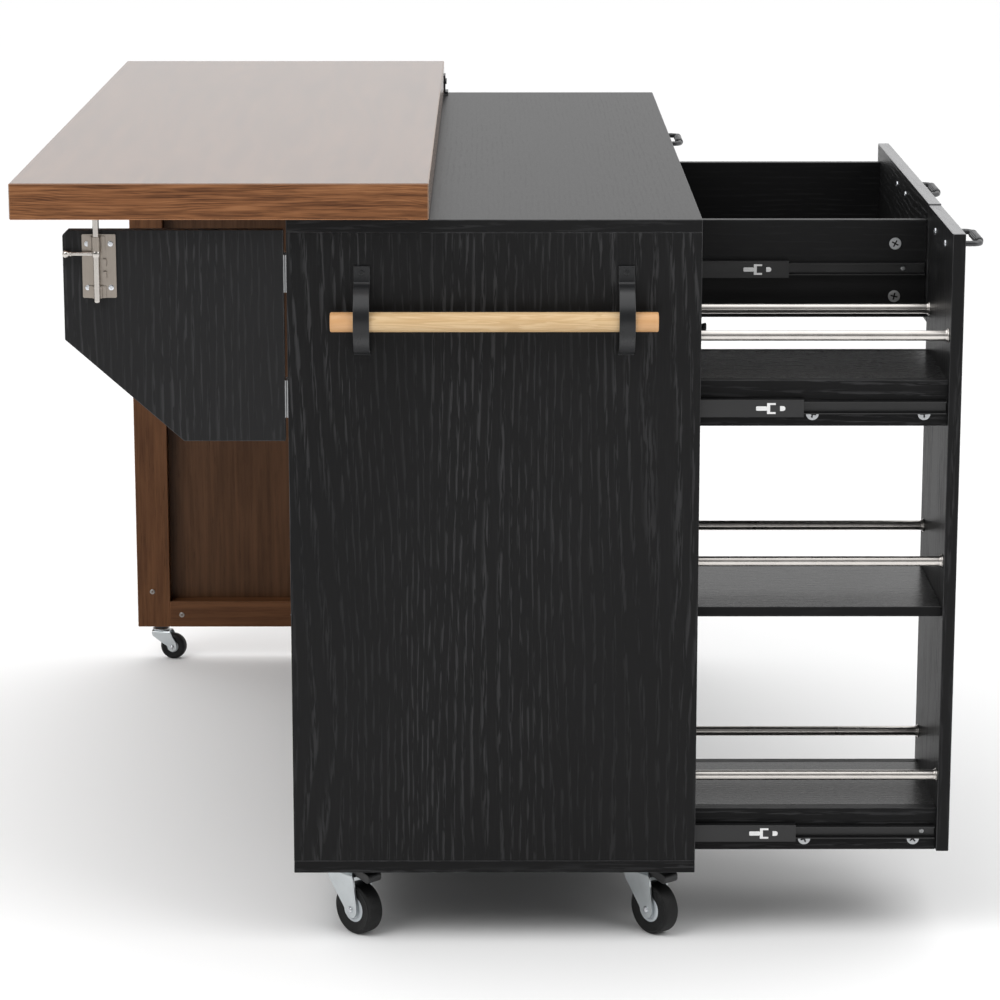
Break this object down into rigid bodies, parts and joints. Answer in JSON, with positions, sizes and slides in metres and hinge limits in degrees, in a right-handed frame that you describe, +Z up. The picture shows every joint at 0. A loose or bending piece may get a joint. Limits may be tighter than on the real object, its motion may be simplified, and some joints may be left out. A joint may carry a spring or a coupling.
{
  "type": "kitchen island cart",
  "caption": "Rolling kitchen island cart with a sliding walnut table leaf on a gate leg and bolt bracket, a tiered pull-out, drawers, doors and a towel rail.",
  "frame": {"origin": "centre of the bounding box's base at rest, on the floor under the wheels", "axes": "+X along the cart from the towel-rail end to the gate-leg end, +Y towards the leaf side (back), +Z up; drawers and doors face -Y"},
  "size_m": [1.3884, 1.1332, 0.924],
  "materials": {
    "black_board": "satin embossed woodgrain laminate",
    "thin_board": "satin thin board",
    "walnut_top": "satin walnut",
    "walnut_leg": "satin walnut",
    "nylon": "matte",
    "black_metal": "satin black",
    "pine": "smooth clear",
    "zinc": "zinc plated",
    "satin_nickel": "satin nickel",
    "caster_rubber": "rubber",
    "black_plastic": "matte",
    "chrome_tube": "polished",
    "slide_steel": "satin black"
  },
  "bodies": {
    "cabinet": {"worktop": "black_board", "bottom_board": "black_board", "near_end_panel": "black_board", "far_end_panel": "black_board", "dividers": "black_board", "back_panel": "thin_board", "cabinet_shelves": "black_board", "leaf_guide_shoes": "nylon", "hinge_fixed_leaves": "zinc", "caster_plates": "zinc", "towel_hooks": "black_metal", "towel_dowel": "pine", "slide_cabinet_members": "slide_steel", "door_hinge_arms": "zinc"},
    "leaf": {"leaf_top": "walnut_top", "leaf_stop_bracket": "black_metal"},
    "bracket": {"bracket_board": "black_board", "bracket_hinge_leaves": "zinc", "bolt_plate": "satin_nickel"},
    "bolt": {"bolt_rod": "satin_nickel"},
    "bolt_arm": {"bolt_knob": "satin_nickel"},
    "gate_leg": {"leg_frame": "walnut_leg", "leg_panel": "walnut_leg", "leg_hinge_leaves": "zinc"},
    "leg_caster": {"leg_caster_fork": "zinc"},
    "leg_wheel": {"leg_caster_wheel": "caster_rubber"},
    "pullout": {"pullout_front": "black_board", "pullout_back": "black_board", "pullout_shelves": "black_board", "pullout_side_boards": "black_board", "pullout_guard_rails": "chrome_tube", "pullout_handle": "black_metal", "pullout_slide_members": "slide_steel"},
    "pullout_mid": {"pullout_mid_members": "slide_steel"},
    "middle_drawer": {"middle_drawer_front": "black_board", "middle_drawer_walls": "black_board", "middle_drawer_bottom": "thin_board", "middle_drawer_handle": "black_metal", "middle_drawer_slide_members": "slide_steel"},
    "middle_mid": {"middle_mid_members": "slide_steel"},
    "far_drawer": {"far_drawer_front": "black_board", "far_drawer_box": "black_board", "far_drawer_handle": "black_metal", "far_drawer_slide_members": "slide_steel"},
    "door_mid_near": {"door_middle_near": "black_board", "knob_middle_near": "black_metal"},
    "door_mid_far": {"door_middle_far": "black_board", "knob_middle_far": "black_metal"},
    "door_far_col": {"door_far": "black_board", "knob_far": "black_metal"},
    "caster_1": {"caster_fork_1": "zinc"},
    "wheel_1": {"caster_wheel_1": "caster_rubber"},
    "brake_1": {"brake_pedal_1": "black_plastic"},
    "caster_2": {"caster_fork_2": "zinc"},
    "wheel_2": {"caster_wheel_2": "caster_rubber"},
    "brake_2": {"brake_pedal_2": "black_plastic"},
    "caster_3": {"caster_fork_3": "zinc"},
    "wheel_3": {"caster_wheel_3": "caster_rubber"},
    "caster_4": {"caster_fork_4": "zinc"},
    "wheel_4": {"caster_wheel_4": "caster_rubber"}
  },
  "joints": [
    {"name": "leaf_slide", "type": "slide", "parent": "cabinet", "child": "leaf", "axis": [0, -1, 0], "range_m": [0, 0.315]},
    {"name": "bracket_fold", "type": "hinge", "parent": "cabinet", "child": "bracket", "pos_m": [-0.63565, 0.2534, 0.7], "axis": [0, 0, -1], "range_deg": [0, 90]},
    {"name": "bolt_slide", "type": "slide", "parent": "bracket", "child": "bolt", "axis": [0, 0, -1], "range_m": [0, 0.03]},
    {"name": "bolt_turn", "type": "hinge", "parent": "bolt", "child": "bolt_arm", "pos_m": [-0.66035, 0.46965, 0.8404], "axis": [0, 0, 1], "range_deg": [0, 90]},
    {"name": "leg_fold", "type": "hinge", "parent": "cabinet", "child": "gate_leg", "pos_m": [0.63715, 0.2534, 0.45], "axis": [0, 0, 1], "range_deg": [0, 90]},
    {"name": "leg_caster_swivel", "type": "hinge", "parent": "gate_leg", "child": "leg_caster", "pos_m": [0.65575, 0.52965, 0.05], "axis": [0, 0, 1], "continuous": true},
    {"name": "leg_wheel_spin", "type": "hinge", "parent": "leg_caster", "child": "leg_wheel", "pos_m": [0.65159, 0.51009, 0.02], "axis": [0.9781, -0.2079, 0], "continuous": true},
    {"name": "pullout_slide", "type": "slide", "parent": "cabinet", "child": "pullout", "axis": [0, 1, 0], "range_m": [0, 0.306]},
    {"name": "pullout_mid_slide", "type": "slide", "parent": "cabinet", "child": "pullout_mid", "axis": [0, 1, 0], "range_m": [0, 0.153]},
    {"name": "middle_drawer_slide", "type": "slide", "parent": "cabinet", "child": "middle_drawer", "axis": [0, 1, 0], "range_m": [0, 0.306]},
    {"name": "middle_mid_slide", "type": "slide", "parent": "cabinet", "child": "middle_mid", "axis": [0, 1, 0], "range_m": [0, 0.153]},
    {"name": "far_drawer_slide", "type": "slide", "parent": "cabinet", "child": "far_drawer", "axis": [0, -1, 0], "range_m": [0, 0.22]},
    {"name": "door_mid_near_hinge", "type": "hinge", "parent": "cabinet", "child": "door_mid_near", "pos_m": [-0.40025, -0.22835, 0.4], "axis": [0, 0, -1], "range_deg": [0, 80]},
    {"name": "door_mid_far_hinge", "type": "hinge", "parent": "cabinet", "child": "door_mid_far", "pos_m": [0.19175, -0.22835, 0.4], "axis": [0, 0, 1], "range_deg": [0, 90]},
    {"name": "door_far_hinge", "type": "hinge", "parent": "cabinet", "child": "door_far_col", "pos_m": [0.65475, -0.22835, 0.4], "axis": [0, 0, 1], "range_deg": [0, 105]},
    {"name": "caster_swivel_1", "type": "hinge", "parent": "cabinet", "child": "caster_1", "pos_m": [-0.59325, 0.19165, 0.08], "axis": [0, 0, 1], "continuous": true},
    {"name": "wheel_spin_1", "type": "hinge", "parent": "caster_1", "child": "wheel_1", "pos_m": [-0.60881, 0.17609, 0.0315], "axis": [0.7071, -0.7071, 0], "continuous": true},
    {"name": "brake_press_1", "type": "hinge", "parent": "caster_1", "child": "brake_1", "pos_m": [-0.60739, 0.17751, 0.0742], "axis": [0.7071, -0.7071, 0], "range_deg": [0, 12]},
    {"name": "caster_swivel_2", "type": "hinge", "parent": "cabinet", "child": "caster_2", "pos_m": [-0.59325, -0.16835, 0.08], "axis": [0, 0, 1], "continuous": true},
    {"name": "wheel_spin_2", "type": "hinge", "parent": "caster_2", "child": "wheel_2", "pos_m": [-0.60985, -0.18278, 0.0315], "axis": [0.6561, -0.7547, 0], "continuous": true},
    {"name": "brake_press_2", "type": "hinge", "parent": "caster_2", "child": "brake_2", "pos_m": [-0.60834, -0.18147, 0.0742], "axis": [0.6561, -0.7547, 0], "range_deg": [0, 12]},
    {"name": "caster_swivel_3", "type": "hinge", "parent": "cabinet", "child": "caster_3", "pos_m": [0.61175, 0.19165, 0.08], "axis": [0, 0, 1], "continuous": true},
    {"name": "wheel_spin_3", "type": "hinge", "parent": "caster_3", "child": "wheel_3", "pos_m": [0.60009, 0.17299, 0.0315], "axis": [0.848, -0.5299, 0], "continuous": true},
    {"name": "caster_swivel_4", "type": "hinge", "parent": "cabinet", "child": "caster_4", "pos_m": [0.61175, -0.16835, 0.08], "axis": [0, 0, 1], "continuous": true},
    {"name": "wheel_spin_4", "type": "hinge", "parent": "caster_4", "child": "wheel_4", "pos_m": [0.59309, -0.18001, 0.0315], "axis": [0.5299, -0.848, 0], "continuous": true}
  ],
  "couplings": [
    {"joint": "pullout_mid_slide", "follows": "pullout_slide", "ratio": 0.5},
    {"joint": "middle_mid_slide", "follows": "middle_drawer_slide", "ratio": 0.5}
  ]
}
